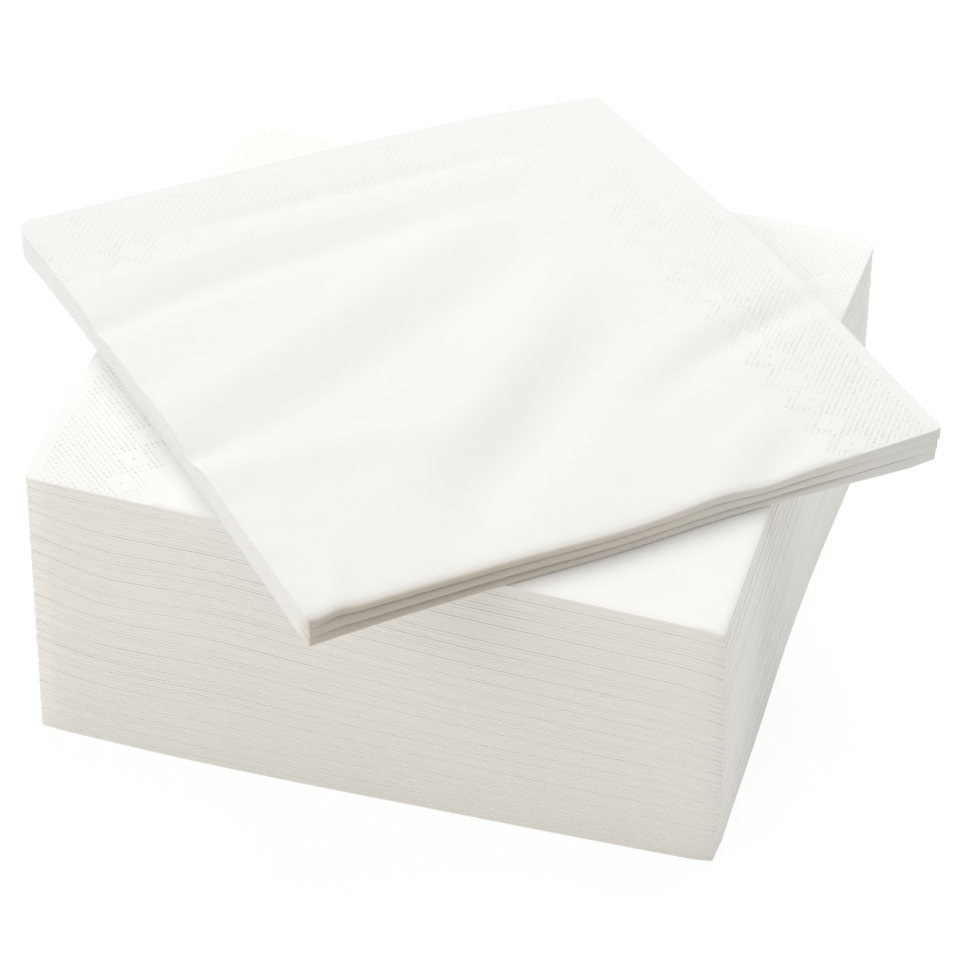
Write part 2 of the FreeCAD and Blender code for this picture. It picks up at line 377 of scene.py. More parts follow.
half_period = add(fold_tree, "ShaderNodeMath", {0: given["Diamond Period"], 1: 0.5}, operation="MULTIPLY")
minus_half = add(fold_tree, "ShaderNodeMath", {0: half_period, 1: -1.0}, operation="MULTIPLY")
from_diamond = add(fold_tree, "ShaderNodeMath", {0: along_edge, 1: given["Diamond Shift"]},
                   operation="SUBTRACT")
from_diamond = add(fold_tree, "ShaderNodeMath", {0: from_diamond, 1: half_period, 2: minus_half},
                   operation="WRAP")
from_diamond = add(fold_tree, "ShaderNodeMath", {0: from_diamond}, operation="ABSOLUTE")
from_row = add(fold_tree, "ShaderNodeMath", {0: from_edge, 1: given["Diamond Row"]}, operation="SUBTRACT")
off_row = add(fold_tree, "ShaderNodeMath", {0: from_row}, operation="ABSOLUTE")
inside = add(fold_tree, "ShaderNodeMath", {0: off_row, 1: from_diamond}, operation="ADD")
outside_diamond = add(fold_tree, "FunctionNodeCompare", {0: inside, 1: given["Diamond Half"]},
                      operation="GREATER_THAN")
diamond_heart = add(fold_tree, "FunctionNodeCompare", {0: inside, 1: 0.1}, operation="LESS_THAN")
not_blank = add(fold_tree, "FunctionNodeBooleanMath", {0: outside_diamond, 1: diamond_heart},
                operation="OR")
on_dot = add(fold_tree, "FunctionNodeBooleanMath", {0: on_row, 1: diamond_heart}, operation="OR")
zigzag = add(fold_tree, "ShaderNodeMath", {0: from_row, 1: from_diamond}, operation="ADD")
within_zigzag = add(fold_tree, "FunctionNodeCompare", {0: zigzag, 1: given["Border Reach"]},
                    operation="LESS_THAN")
past_start = add(fold_tree, "FunctionNodeCompare", {0: from_edge, 1: given["Border Start"]},
                 operation="GREATER_THAN")
print("with the dot pattern:", len(fold_tree.nodes))

# %% How deep each dot goes
DOT_RIM = 0.08
DOT_CHANCE = 0.6
DOT_STRAY = 0.7
PATCH_SEED = 3.1
STRAY_SEED = 5.0

strong = given["Dot At Corner"]
on_top = add(fold_tree, "FunctionNodeCompare", {0: side, 1: 0.0}, operation="GREATER_THAN")
this_leaf = add(fold_tree, "FunctionNodeCompare", {0: across_step, 1: given["Columns Above"]},
                operation="LESS_THAN")
this_layer = add(fold_tree, "FunctionNodeCompare", {0: back_step, 1: given["Rows Above"]},
                 operation="LESS_THAN")
in_border = on_top
for condition in (not_blank, within_zigzag, past_start, this_leaf, this_layer):
    in_border = add(fold_tree, "FunctionNodeBooleanMath", {0: in_border, 1: condition}, operation="AND")
pressed_here = add(fold_tree, "FunctionNodeBooleanMath", {0: in_border, 1: on_dot}, operation="AND")
rim_here = add(fold_tree, "FunctionNodeBooleanMath", {0: in_border, 1: beside_dot}, operation="AND")
uneven = add(fold_tree, "ShaderNodeTexNoise", {"Scale": 0.035, "Detail": 1.0, "W": PATCH_SEED},
             noise_dimensions="4D")
uneven = add(fold_tree, "ShaderNodeMapRange", {
    "Value": uneven,
    "From Min": 0.35,
    "From Max": 0.65,
    "To Min": 0.55,
    "To Max": 1.0,
})
own_chance = add(fold_tree, "ShaderNodeTexWhiteNoise", {"Vector": here_step})
own_share = add(fold_tree, "ShaderNodeMath", {0: own_chance, 1: DOT_CHANCE, 2: 1 - DOT_CHANCE},
                operation="MULTIPLY_ADD")
uneven = add(fold_tree, "ShaderNodeMath", {0: uneven, 1: own_share}, operation="MULTIPLY")
for steps, straight, gain in ((across_step, "Columns Above", "Dot Across"),
                              (back_step, "Rows Above", "Dot Back")):
    along = add(fold_tree, "ShaderNodeMath", {0: steps, 1: given[straight]}, operation="DIVIDE")
    strong = add(fold_tree, "ShaderNodeMath", {0: along, 1: given[gain], 2: strong},
                 operation="MULTIPLY_ADD")
uneven = add(fold_tree, "ShaderNodeMath", {0: uneven, 1: strong}, operation="MULTIPLY")
dot_press_and_shade = add(fold_tree, "ShaderNodeMath", {0: pressed_here, 1: uneven}, operation="MULTIPLY")
rim_share = add(fold_tree, "ShaderNodeMath", {0: rim_here, 1: -DOT_RIM}, operation="MULTIPLY")
rim_share = add(fold_tree, "ShaderNodeMath", {0: rim_share, 1: uneven}, operation="MULTIPLY")
dot_relief = add(fold_tree, "ShaderNodeMath", {0: dot_press_and_shade, 1: rim_share}, operation="ADD")
dot_depth = add(fold_tree, "ShaderNodeMath", {0: dot_relief, 1: given["Dot Depth"]}, operation="MULTIPLY")
# The press share is stored too: the material paints the dots greyer with it, as painted shade in the pits.
marked = add(fold_tree, "GeometryNodeStoreNamedAttribute", {
    "Geometry": merged,
    "Name": "dot_press_and_shade",
    "Value": dot_press_and_shade,
}, data_type="FLOAT", domain="POINT")
stray = add(fold_tree, "ShaderNodeTexWhiteNoise", {"Vector": here_step, "W": STRAY_SEED},
            noise_dimensions="4D")
stray = add(fold_tree, "ShaderNodeVectorMath", {0: stray.outputs["Color"], 1: (0.5, 0.5, 0.5)},
            operation="SUBTRACT")
stray = add(fold_tree, "ShaderNodeVectorMath", {0: stray, "Scale": DOT_STRAY}, operation="SCALE")
stray = add(fold_tree, "ShaderNodeVectorMath", {0: stray, 1: pressed_here}, operation="MULTIPLY")
stray = add(fold_tree, "ShaderNodeVectorMath", {0: here_step, 1: stray}, operation="ADD")
placed = add(fold_tree, "ShaderNodeSeparateXYZ", {0: stray})
print("with the dot depth:", len(fold_tree.nodes))

# %% Bend the sheet round the first fold, then round the second
leaf = add(fold_tree, "ShaderNodeMath", {0: given["Layer"], 1: 2.0, 2: given["Slit"]},
           operation="MULTIPLY_ADD")
whole = add(fold_tree, "ShaderNodeMath", {0: leaf, 1: 2.0, 2: given["Leaf Gap"]}, operation="MULTIPLY_ADD")
layer_and_slit = add(fold_tree, "ShaderNodeMath", {0: given["Layer"], 1: given["Slit"]}, operation="ADD")
leaf_and_gap = add(fold_tree, "ShaderNodeMath", {0: leaf, 1: given["Leaf Gap"]}, operation="ADD")
height_in_layer = add(fold_tree, "ShaderNodeMath", {0: side, 1: given["Layer"]}, operation="MULTIPLY")
out = add(fold_tree, "ShaderNodeMath", {0: height_in_layer, 1: dot_depth}, operation="SUBTRACT")
folds = (
    ("Rows Above", "Depth", placed.outputs[1], layer_and_slit, leaf, rows),
    ("Columns Above", "Width", placed.outputs[0], leaf_and_gap, whole, columns),
)
half_bulge = add(fold_tree, "ShaderNodeMath", {0: given["Fold Bulge"], 1: -0.5}, operation="MULTIPLY")
bent = []
for straight, size, steps, doubled_radius, doubled, last in folds:
    run = add(fold_tree, "ShaderNodeMath", {0: doubled, 1: half_bulge, 2: given[size]},
              operation="MULTIPLY_ADD")
    fold_end = add(fold_tree, "ShaderNodeMath", {0: given[straight], 1: given["Fold Steps"]},
                   operation="ADD")
    above = add(fold_tree, "ShaderNodeMapRange", {
        "Value": steps,
        "From Min": given[straight],
        "From Max": 0.0,
        "To Max": run,
    })
    below = add(fold_tree, "ShaderNodeMapRange", {
        "Value": steps,
        "From Min": fold_end,
        "From Max": last,
        "To Max": run,
    })
    angle = add(fold_tree, "ShaderNodeMapRange", {
        "Value": steps,
        "From Min": given[straight],
        "From Max": fold_end,
        "To Min": math.pi / 2,
        "To Max": -math.pi / 2,
    })
    radius = add(fold_tree, "ShaderNodeMath", {0: doubled_radius, 1: 0.5, 2: out}, operation="MULTIPLY_ADD")
    turned = add(fold_tree, "ShaderNodeMath", {0: angle}, operation="COSINE")
    reach = add(fold_tree, "ShaderNodeMath", {0: radius, 1: turned}, operation="MULTIPLY")
    reach = add(fold_tree, "ShaderNodeMath", {0: reach, 1: given["Fold Bulge"]}, operation="MULTIPLY")
    reach = add(fold_tree, "ShaderNodeMath", {0: reach, 1: above}, operation="SUBTRACT")
    reach = add(fold_tree, "ShaderNodeMath", {0: reach, 1: below}, operation="SUBTRACT")
    half_size = add(fold_tree, "ShaderNodeMath", {0: given[size], 1: 0.5}, operation="MULTIPLY")
    centre = add(fold_tree, "ShaderNodeMath", {0: doubled, 1: half_bulge, 2: half_size},
                 operation="MULTIPLY_ADD")
    bent.append(add(fold_tree, "ShaderNodeMath", {0: reach, 1: centre}, operation="ADD"))
    risen = add(fold_tree, "ShaderNodeMath", {0: angle}, operation="SINE")
    out = add(fold_tree, "ShaderNodeMath", {0: radius, 1: risen}, operation="MULTIPLY")
print("with both folds:", len(fold_tree.nodes))

# %% Finish the folding tree
front_to_back = add(fold_tree, "ShaderNodeMath", {0: bent[0], 1: -1.0}, operation="MULTIPLY")
height = add(fold_tree, "ShaderNodeMath", {0: whole, 1: 0.5, 2: out}, operation="MULTIPLY_ADD")
folded = add(fold_tree, "ShaderNodeCombineXYZ", {0: bent[1], 1: front_to_back, 2: height})
folded = add(fold_tree, "GeometryNodeSetPosition", {"Geometry": marked, "Position": folded})
folded = add(fold_tree, "GeometryNodeFlipFaces", {0: folded})
folded = add(fold_tree, "GeometryNodeRealizeInstances", {"Geometry": folded})
folded = add(fold_tree, "GeometryNodeSetMaterial", {"Geometry": folded, "Material": given["Paper"]})
add(fold_tree, "NodeGroupOutput", {0: folded})
print("the folding tree has", len(fold_tree.nodes), "nodes")

# %% Fold four kinds of napkin
BORDER = {"Border Start": 7, "Border Reach": 15, "Diamond Row": 46, "Diamond Half": 9, "Diamond Period": 20}
PLAIN_GRID = {"Columns Above": 32, "Columns Below": 32, "Rows Above": 20, "Rows Below": 20, "Fold Steps": 5,
              "Fine Steps": 0, "Wide Step": 1, "Dot Depth": 0.0, "Dot At Corner": 0.0, "Dot Across": 0.0,
              "Dot Back": 0.0, "Diamond Shift": 0}
DOTTED_GRID = {"Columns Above": 344, "Columns Below": 32, "Rows Above": 340, "Rows Below": 20,
               "Fold Steps": 6, "Fine Steps": 64, "Wide Step": 4}
PRESSED_DOTS = {"Dot Depth": 0.36 * MM, "Dot At Corner": 0.4, "Dot Across": 0.2, "Dot Back": 0.55,
                "Diamond Shift": 8}
LOOSE_DOTS = {"Dot Depth": 0.5 * MM, "Dot At Corner": 0.4, "Dot Across": 0.8, "Dot Back": 0.25,
              "Diamond Shift": 16}


def fold_napkin(name, make, grid, paper):
    """Runs the folding tree once and returns the flat-lying napkin as a plain mesh."""
    carrier = bpy.data.objects.new(name, bpy.data.meshes.new(name))
    scene.collection.objects.link(carrier)
    modifier = carrier.modifiers.new("fold", "NODES")
    modifier.node_group = fold_tree
    values = {"Width": NAPKIN_WIDTH, "Depth": NAPKIN_DEPTH, "Layer": LAYER, "Paper": paper}
    values.update(make)
    values.update(BORDER)
    values.update(grid)
    for item in fold_tree.interface.items_tree:
        if item.in_out == "INPUT" and item.name in values:
            modifier[item.identifier] = values[item.name]
    evaluated = carrier.evaluated_get(bpy.context.evaluated_depsgraph_get())
    mesh = bpy.data.meshes.new_from_object(evaluated)
    mesh.name = name
    carrier.modifiers.remove(modifier)
    bpy.data.objects.remove(carrier)
    edges = np.empty(len(mesh.loops), int)
    mesh.loops.foreach_get("edge_index", edges)
    open_edges = int((np.bincount(edges, minlength=len(mesh.edges)) != 2).sum())
    mesh.calc_loop_triangles()
    print(name, "triangles:", len(mesh.loop_triangles), "open edges:", open_edges)
    return mesh


plain_pressed = fold_napkin("plain_pressed", PRESSED, PLAIN_GRID, pressed_tissue)
plain_loose = fold_napkin("plain_loose", LOOSE, PLAIN_GRID, shaded_loose_tissue)
dotted_pressed = fold_napkin("dotted_pressed", PRESSED, {**DOTTED_GRID, **PRESSED_DOTS}, pressed_tissue)
dotted_loose = fold_napkin("dotted_loose", LOOSE, {**DOTTED_GRID, **LOOSE_DOTS}, shaded_loose_tissue)

# %% [markdown]
# ## Lay the napkins
# The flat napkins are now given their places and their soft, uneven shapes. This is plain arithmetic on all
# points of a mesh at once, so it is done with arrays. Three small tools are enough: a smooth curve through a
# few points, a smooth random wander with a fixed seed, and a soft line that presses a valley or raises a
# ridge along a path. Where a share runs from 0 to 1, it is eased, so that it starts and ends without a kink.

# %% Three tools for soft shapes
WANDER_KNOTS = 130
WANDER_START = 64.0


def eased(share):
    """A share from 0 to 1 that leaves 0 and reaches 1 gently."""
    return share * share * (3 - 2 * share)


def smooth_curve(place, points):
    """A smooth rise and fall through the (place, value) points."""
    places = np.array([p[0] for p in points])
    values = np.array([p[1] for p in points])
    part = np.clip(place, places[0], places[-1])
    at = np.clip(np.searchsorted(places, part, side="right") - 1, 0, len(places) - 2)
    share = (part - places[at]) / (places[at + 1] - places[at])
    slopes = np.gradient(values, places)
    gap = places[at + 1] - places[at]
    rise = eased(share)
    start = share * (1 - share) ** 2 * gap * slopes[at]
    end = share ** 2 * (share - 1) * gap * slopes[at + 1]
    return values[at] * (1 - rise) + values[at + 1] * rise + start + end


def wander(place, spacing, seed):
    """A smooth random line between -1 and 1 that changes about once in each spacing."""
    knots = np.random.default_rng(seed).uniform(-1.0, 1.0, WANDER_KNOTS)
    steps = place / spacing + WANDER_START
    low = np.clip(np.floor(steps).astype(int), 0, WANDER_KNOTS - 2)
    part = eased(np.clip(steps - low, 0.0, 1.0))
    return knots[low] * (1 - part) + knots[low + 1] * part


def soft_line(across, back, path):
    """Height of a soft ridge, or valley if it is negative, along (across, back, height, width) points."""
    nearest = np.full(across.shape, np.inf)
    height = np.zeros(across.shape)
    for start, end in zip(path, path[1:]):
        run = (end[0] - start[0], end[1] - start[1])
        part = (across - start[0]) * run[0] + (back - start[1]) * run[1]
        part = np.clip(part / (run[0] ** 2 + run[1] ** 2), 0.0, 1.0)
        away = np.hypot(across - start[0] - part * run[0], back - start[1] - part * run[1])
        width = start[3] + part * (end[3] - start[3])
        here = (start[2] + part * (end[2] - start[2])) * np.exp(-(away / width) ** 2)
        height = np.where(away / width < nearest, here, height)
        nearest = np.minimum(nearest, away / width)
    return height


print("a wander of 5 points:", np.round(wander(np.arange(5.0), 1.0, 1), 2))

# %% [markdown]
# ## The squared pile
# Forty-seven napkins lie square on each other. Both folds are at the front right corner, where the pile is
# pressed thinnest. At the back left corner the embossed loose edges lie on each other, so the pile is highest
# there. Each napkin takes an equal share of that lean. Halfway up, the pile also waves: along the front the
# napkins dip a little way in from the left edge, rise again, and sink towards the right. The wave grows from
# the floor and fades again towards the flat top, so that no napkin crosses the next.

# %% Sizes of the pile
# Each curve is a row of (place, value) points, both in mm, but for the one by height, which is in shares.
PILE_COUNT = 47
PITCH = thickness(PRESSED) + 0.04 * MM
RISE_LEFT = 8.0 * MM
RISE_BACK = 2.65 * MM
STRAY = 0.08 * MM
STRAY_TURN = math.radians(137.5)

FRONT_WAVE = [(-100, 3.4), (-92, 1.8), (-85, 0.1), (-77, -0.9), (-64, -0.3), (-46, 0.6), (-37, 0.3),
              (-25, -0.6), (0, -1.9), (33, -3.1), (52, -3.2), (79, -3.4), (90, -3.6), (96, -4.1), (100, -4.9)]
WAVE_BY_HEIGHT = [(0.0, 0.0), (0.16, 0.45), (0.4, 0.75), (0.7, 1.0), (0.8, 0.88), (0.92, 0.25), (1.0, 0.0)]
RIGHT_BOW = [(-100, 0.0), (-60, -0.5), (-20, -1.1), (15, -1.3), (50, -0.7), (80, 0.4), (100, 1.2)]
RIGHT_FOOT = 1.3 * MM
FRONT_FOOT = [(-100, 0.7), (-80, 1.6), (-50, 2.5), (-20, 2.6), (20, 2.0), (60, 1.4), (100, 0.5)]
CORNER_DROOP = 1.0 * MM
CORNER_DROOP_REACH = 5 * MM
WAVE_FADE = 0.75
LEFT_BOW = [(-99, 0.3), (-93, 1.1), (-83, 2.1), (-66, 2.6), (-37, 3.1), (20, 3.1), (69, 2.7), (86, 2.1),
            (95, 0.9), (99, 0.2)]
BACK_BOW = [(-100, 0.0), (-60, 0.1), (0, 1.6), (52, 3.4), (74, 4.0), (88, 4.1), (94, 3.3), (100, 1.0)]


def top_lean(across, back):
    """How far the full pile's top plane stands over its lowest corner, the front right one."""
    return (RISE_LEFT + RISE_BACK) / 2 - RISE_LEFT * across / NAPKIN_WIDTH + RISE_BACK * back / NAPKIN_DEPTH


def pile_height(share_count, across, back):
    """Height over the floor of the surface that has this many napkins below it, with part napkins too."""
    level = PITCH * share_count + top_lean(across, back) * share_count / PILE_COUNT
    wave = smooth_curve(across / MM, FRONT_WAVE) * MM
    into_pile = np.clip((back + NAPKIN_DEPTH / 2) / NAPKIN_DEPTH, 0.0, 1.0)
    wave = wave * (1 - WAVE_FADE * into_pile)
    level = level + wave * smooth_curve(share_count / PILE_COUNT, WAVE_BY_HEIGHT)
    from_corner = np.hypot(NAPKIN_WIDTH / 2 - across, NAPKIN_DEPTH / 2 + back)
    return level - CORNER_DROOP * np.exp(-(from_corner / CORNER_DROOP_REACH) ** 2) * share_count / PILE_COUNT


print("pile heights at its corners, mm:", [
    round(float(pile_height(np.array(float(PILE_COUNT)), x * NAPKIN_WIDTH / 2, y * NAPKIN_DEPTH / 2)) / MM, 1)
    for x, y in ((-1, -1), (1, -1), (1, 1), (-1, 1))
])

# %% Read and write a mesh's points
# How strongly the loose edges are painted with the fold shade.
EDGE_PAINTED_SHADE = 0.05
SHARP_ANGLE = math.radians(55)


def points_of(mesh):
    """The mesh's points as three arrays, in metres."""
    flat = np.empty(len(mesh.vertices) * 3)
    mesh.vertices.foreach_get("co", flat)
    return flat.reshape(-1, 3).T.copy()


def mark_painted_fold_shade(mesh, across, back, reach, first_fold, second_fold):
    """Writes the painted fold shade: how near each point is to the folds, each with its own strength, and to
    the loose edges.
    """
    front = first_fold * np.exp(-(back + NAPKIN_DEPTH / 2) / reach)
    right = second_fold * np.exp(-(NAPKIN_WIDTH / 2 - across) / reach)
    left = EDGE_PAINTED_SHADE * np.exp(-(NAPKIN_WIDTH / 2 + across) / reach)
    far = EDGE_PAINTED_SHADE * np.exp(-(NAPKIN_DEPTH / 2 - back) / reach)
    warmth = np.clip(np.max([front, right, left, far], axis=0), 0.0, 1.0)
    mesh.attributes.new("painted_fold_shade", "FLOAT", "POINT").data.foreach_set("value", warmth)


def finish_napkin(mesh, points, node):
    """Puts the points back, shades the paper smooth, gives the piece to its body and hides its CAD node."""
    mesh.vertices.foreach_set("co", np.array(points).T.ravel())
    mesh.update()
    mesh.shade_smooth()
    mesh.set_sharp_from_angle(angle=SHARP_ANGLE)
    mesh.name = "paper_" + node
    piece = bpy.data.objects.new("paper_" + node, mesh)
    scene.collection.objects.link(piece)
    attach(piece, "root")
    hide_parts(node)
    return piece


def near_side(place, size):
    """A share that is 1 at the side that place grows towards, and fades to 0 at the opposite side."""
    return np.clip(0.5 + place / size, 0.0, 1.0) ** 3


def round_corners(across, back, radii):
    """Pulls each corner of the outline in to a round of its own radius, in mm."""
    for corner, radius in radii.items():
        centre_across = math.copysign(NAPKIN_WIDTH / 2 - radius * MM, corner[0])
        centre_back = math.copysign(NAPKIN_DEPTH / 2 - radius * MM, corner[1])
        side_way = (across - centre_across) * corner[0]
        back_way = (back - centre_back) * corner[1]
        inside = (side_way > 0) & (back_way > 0)
        farthest = np.maximum(side_way, back_way)
        scale = np.where(inside, farthest / np.maximum(np.hypot(side_way, back_way), 1e-9), 1.0)
        across = centre_across + side_way * scale * corner[0]
        back = centre_back + back_way * scale * corner[1]
    return across, back


print("points of a plain napkin:", points_of(plain_pressed).shape[1])
print("points of a dotted napkin:", points_of(dotted_pressed).shape[1])

# %% [markdown]
# ## Uneven folds
# No two crests lie quite alike. Some stand back a little, and some are pressed thinner at the edge, which
# opens a dark line for part of the way along. Each leaf gets its own smooth random line for both. These lines
# calm down towards the front right corner, where both folds meet. At the front each leaf swells to fill its
# half of the napkin's place in the pile, and at the right the whole napkin swells. Where the two meet, the
# front's rule holds. A few second folds are opened on purpose, for the dark lines on the right side.

# %% Shape the edges of a napkin
CREST_GAP = 0.04 * MM
CREST_REACH = 4 * MM
EDGE_REACH = 12 * MM
CALM_SHARE = 0.75
CALM_REACH = 115 * MM
CREST_BACK = 0.06 * MM
CREST_BACK_FINE = 0.03 * MM
CREST_THIN = 0.36
LOOSE_STRAY = 0.12 * MM
NOSE_BACK = 0.15 * MM
NOSE_THIN = 0.4
NOSE_CALM_SHARE = 0.85
NOSE_CALM_REACH = 22 * MM


def shape_edges(across, back, height, make, pitch, seed, loosen):
    """Moves a napkin's crests and loose edges a little, each leaf in its own way, and fills its folds."""
    full_height = thickness(make)
    upper = eased(np.clip(height / full_height * 2.0 - 0.5, 0.0, 1.0))
    from_front = back + NAPKIN_DEPTH / 2
    from_right = NAPKIN_WIDTH / 2 - across
    from_left = NAPKIN_WIDTH / 2 + across
    from_back = NAPKIN_DEPTH / 2 - back
    off_corner = 1 - CALM_SHARE * np.exp(-(from_right / CALM_REACH) ** 2)
    leaves = []
    for number in (0, 1):
        own = seed * 10 + number
        stand_back = CREST_BACK * (1 + wander(across, 32 * MM, own))
        stand_back = (stand_back + CREST_BACK_FINE * wander(across, 9 * MM, own + 4)) * off_corner
        thin = np.clip(wander(across, 34 * MM, own + 2) - 0.5, 0.0, 1.0) * CREST_THIN * off_corner
        loose_left = LOOSE_STRAY * wander(back, 25 * MM, own + 6)
        loose_back = LOOSE_STRAY * wander(across, 25 * MM, own + 8)
        leaves.append((stand_back, thin, loose_left, loose_back))
    stand_back, thin, loose_left, loose_back = [
        low * (1 - upper) + high * upper for low, high in zip(*leaves)
    ]
    nose_back = NOSE_BACK * (1 + wander(back, 40 * MM, seed * 10 + 3))
    nose_thin = np.clip(wander(back, 50 * MM, seed * 10 + 5) - 0.2, 0.0, 1.0) * NOSE_THIN
    nose_thin = nose_thin * (1 - NOSE_CALM_SHARE * np.exp(-(from_front / NOSE_CALM_REACH) ** 2))
    near_front = np.exp(-from_front / EDGE_REACH)
    near_right = np.exp(-from_right / EDGE_REACH)
    near_left = np.exp(-from_left / EDGE_REACH)
    near_back = np.exp(-from_back / EDGE_REACH)
    back = back + loosen * (stand_back * near_front - loose_back * near_back)
    across = across + loosen * (loose_left * near_left - nose_back * near_right)
    at_crest = np.exp(-(from_front / CREST_REACH) ** 2)
    at_nose = np.exp(-(from_right / CREST_REACH) ** 2)
    leaf = 2 * LAYER + make["Slit"]
    fullness = (pitch / 2 - CREST_GAP) / leaf * (1 - loosen * thin)
    low_leaf = pitch / 4 + (height - leaf / 2) * fullness
    high_leaf = pitch * 3 / 4 + (height - full_height + leaf / 2) * fullness
    between = (height - leaf) / (full_height - 2 * leaf)
    between = pitch / 4 + leaf / 2 * fullness + between * (pitch / 2 - leaf * fullness)
    crest_height = np.where(height < leaf, low_leaf, between)
    crest_height = np.where(height > full_height - leaf, high_leaf, crest_height)
    fullness = (pitch - CREST_GAP) / full_height * (1 - loosen * nose_thin)
    nose_height = pitch / 2 + (height - full_height / 2) * fullness
    at_nose = at_nose * (1 - at_crest)
    height = height + at_crest * (crest_height - height) + at_nose * (nose_height - height)
    return across, back, height


print("neighbouring crests are", round(CREST_GAP / MM, 2), "mm apart where nothing opens them")

# %% Open a dark line along some of the second folds
OPEN_NOSES = {46: (0.6, 130), 45: (0.8, 200), 43: (0.6, 110), 41: (0.4, 70), 37: (0.6, 120), 35: (0.6, 80),
              31: (0.3, 60), 26: (0.5, 90), 19: (0.5, 80), 13: (0.3, 50), 8: (0.8, 150)}
OPEN_START = 4
OPEN_BACK = 0.45 * MM
OPEN_THIN = 0.55


def open_nose(across, back, height, pitch, strength, reach):
    """Presses a napkin's second fold thinner and a little back, most just behind the front crests."""
    at_nose = np.exp(-((NAPKIN_WIDTH / 2 - across) / CREST_REACH) ** 2)
    from_front = (back + NAPKIN_DEPTH / 2) / MM
    opened = np.exp(-(from_front / reach) ** 2) - np.exp(-(from_front / OPEN_START) ** 2)
    share = strength * at_nose * opened
    return across - OPEN_BACK * share, pitch / 2 + (height - pitch / 2) * (1 - OPEN_THIN * share)


print("second folds with a dark line beside them:", len(OPEN_NOSES))

# %% Lay the pile
PILE_SHADE_PAINT_REACH = 0.8 * MM
PILE_ROUND = {(1, 1): 2.5, (1, -1): 2.2, (-1, -1): 2.0, (-1, 1): 1.2}
FOOT_ROUND = 1.0
FOOT_COUNT = 3
FOOT_FADE = 1.5
BEAD = 0.45 * MM
BEAD_SPACING = 2.3
BEAD_SEED = 4242
CORNER_BOW = 1.3 * MM


def lay_in_pile(flat_napkin, number):
    """One napkin of the pile: its edges shaped, its corners rounded, and laid on those below."""
    mesh = flat_napkin.copy()
    across, back, height = points_of(mesh)
    mark_painted_fold_shade(mesh, across, back, PILE_SHADE_PAINT_REACH, 1.0, 0.5)
    across, back, height = shape_edges(across, back, height, PRESSED, PITCH, number + 1, 1.0)
    strength, reach = OPEN_NOSES.get(number, (0.0, 1.0))
    across, height = open_nose(across, back, height, PITCH, strength, reach)
    foot_round = PILE_ROUND[1, -1] + FOOT_ROUND * max(0.0, 1 - number / FOOT_COUNT)
    across, back = round_corners(across, back, {**PILE_ROUND, (1, -1): foot_round})
    near_right = near_side(across, NAPKIN_WIDTH)
    near_left = near_side(-across, NAPKIN_WIDTH)
    near_back = near_side(back, NAPKIN_DEPTH)
    bowed = near_right * smooth_curve(back / MM, RIGHT_BOW) - near_left * smooth_curve(back / MM, LEFT_BOW)
    back = back + near_back * smooth_curve(across / MM, BACK_BOW) * MM
    lower = 1 - number / PILE_COUNT
    near_front = near_side(-back, NAPKIN_DEPTH)
    bead = BEAD * float(wander(np.array(float(number)), BEAD_SPACING, BEAD_SEED))
    across = across + bowed * MM + RIGHT_FOOT * near_right * lower
    corner_bow = CORNER_BOW * 4 * lower * (1 - lower)
    across = across + bead * near_right * near_front ** 6 + corner_bow * near_right * near_front ** 2
    back = back - near_front * smooth_curve(across / MM, FRONT_FOOT) * MM * lower ** FOOT_FADE
    across = across + STRAY * math.cos(STRAY_TURN * number)
    back = back + STRAY * math.sin(STRAY_TURN * number)
    up = pile_height(number + height / PITCH, across, back)
    return finish_napkin(mesh, (across, back, up), f"napkin_{number + 1:02d}")


pile = [lay_in_pile(plain_pressed, number) for number in range(PILE_COUNT - 1)]
pile.append(lay_in_pile(dotted_pressed, PILE_COUNT - 1))
print("napkins in the pile:", len(pile), "topmost:", pile[-1].name)

# %% [markdown]
# ## The loose bundle
# Three napkins lie on the pile, turned by about 46 degrees, so their corners reach out past it. They aren't
# pressed, so their folds are rounder and their layers stand apart. The top one lies in soft waves that run
# from its back towards its front crests, with short creases where the first fold pulls the paper together.
# Each wave and crease is one soft line.

# %% Sizes of the bundle
# A wave is a path of (across, back, height, width) points, and a crease is (across, length, depth, width).
BUNDLE_COUNT = 3
BUNDLE_PITCH = thickness(LOOSE) + 0.12 * MM
BUNDLE_TURN = math.radians(-46.2)
BUNDLE_ACROSS = -1.8 * MM
BUNDLE_BACK = 1.7 * MM
BUNDLE_REST = 0.04 * MM

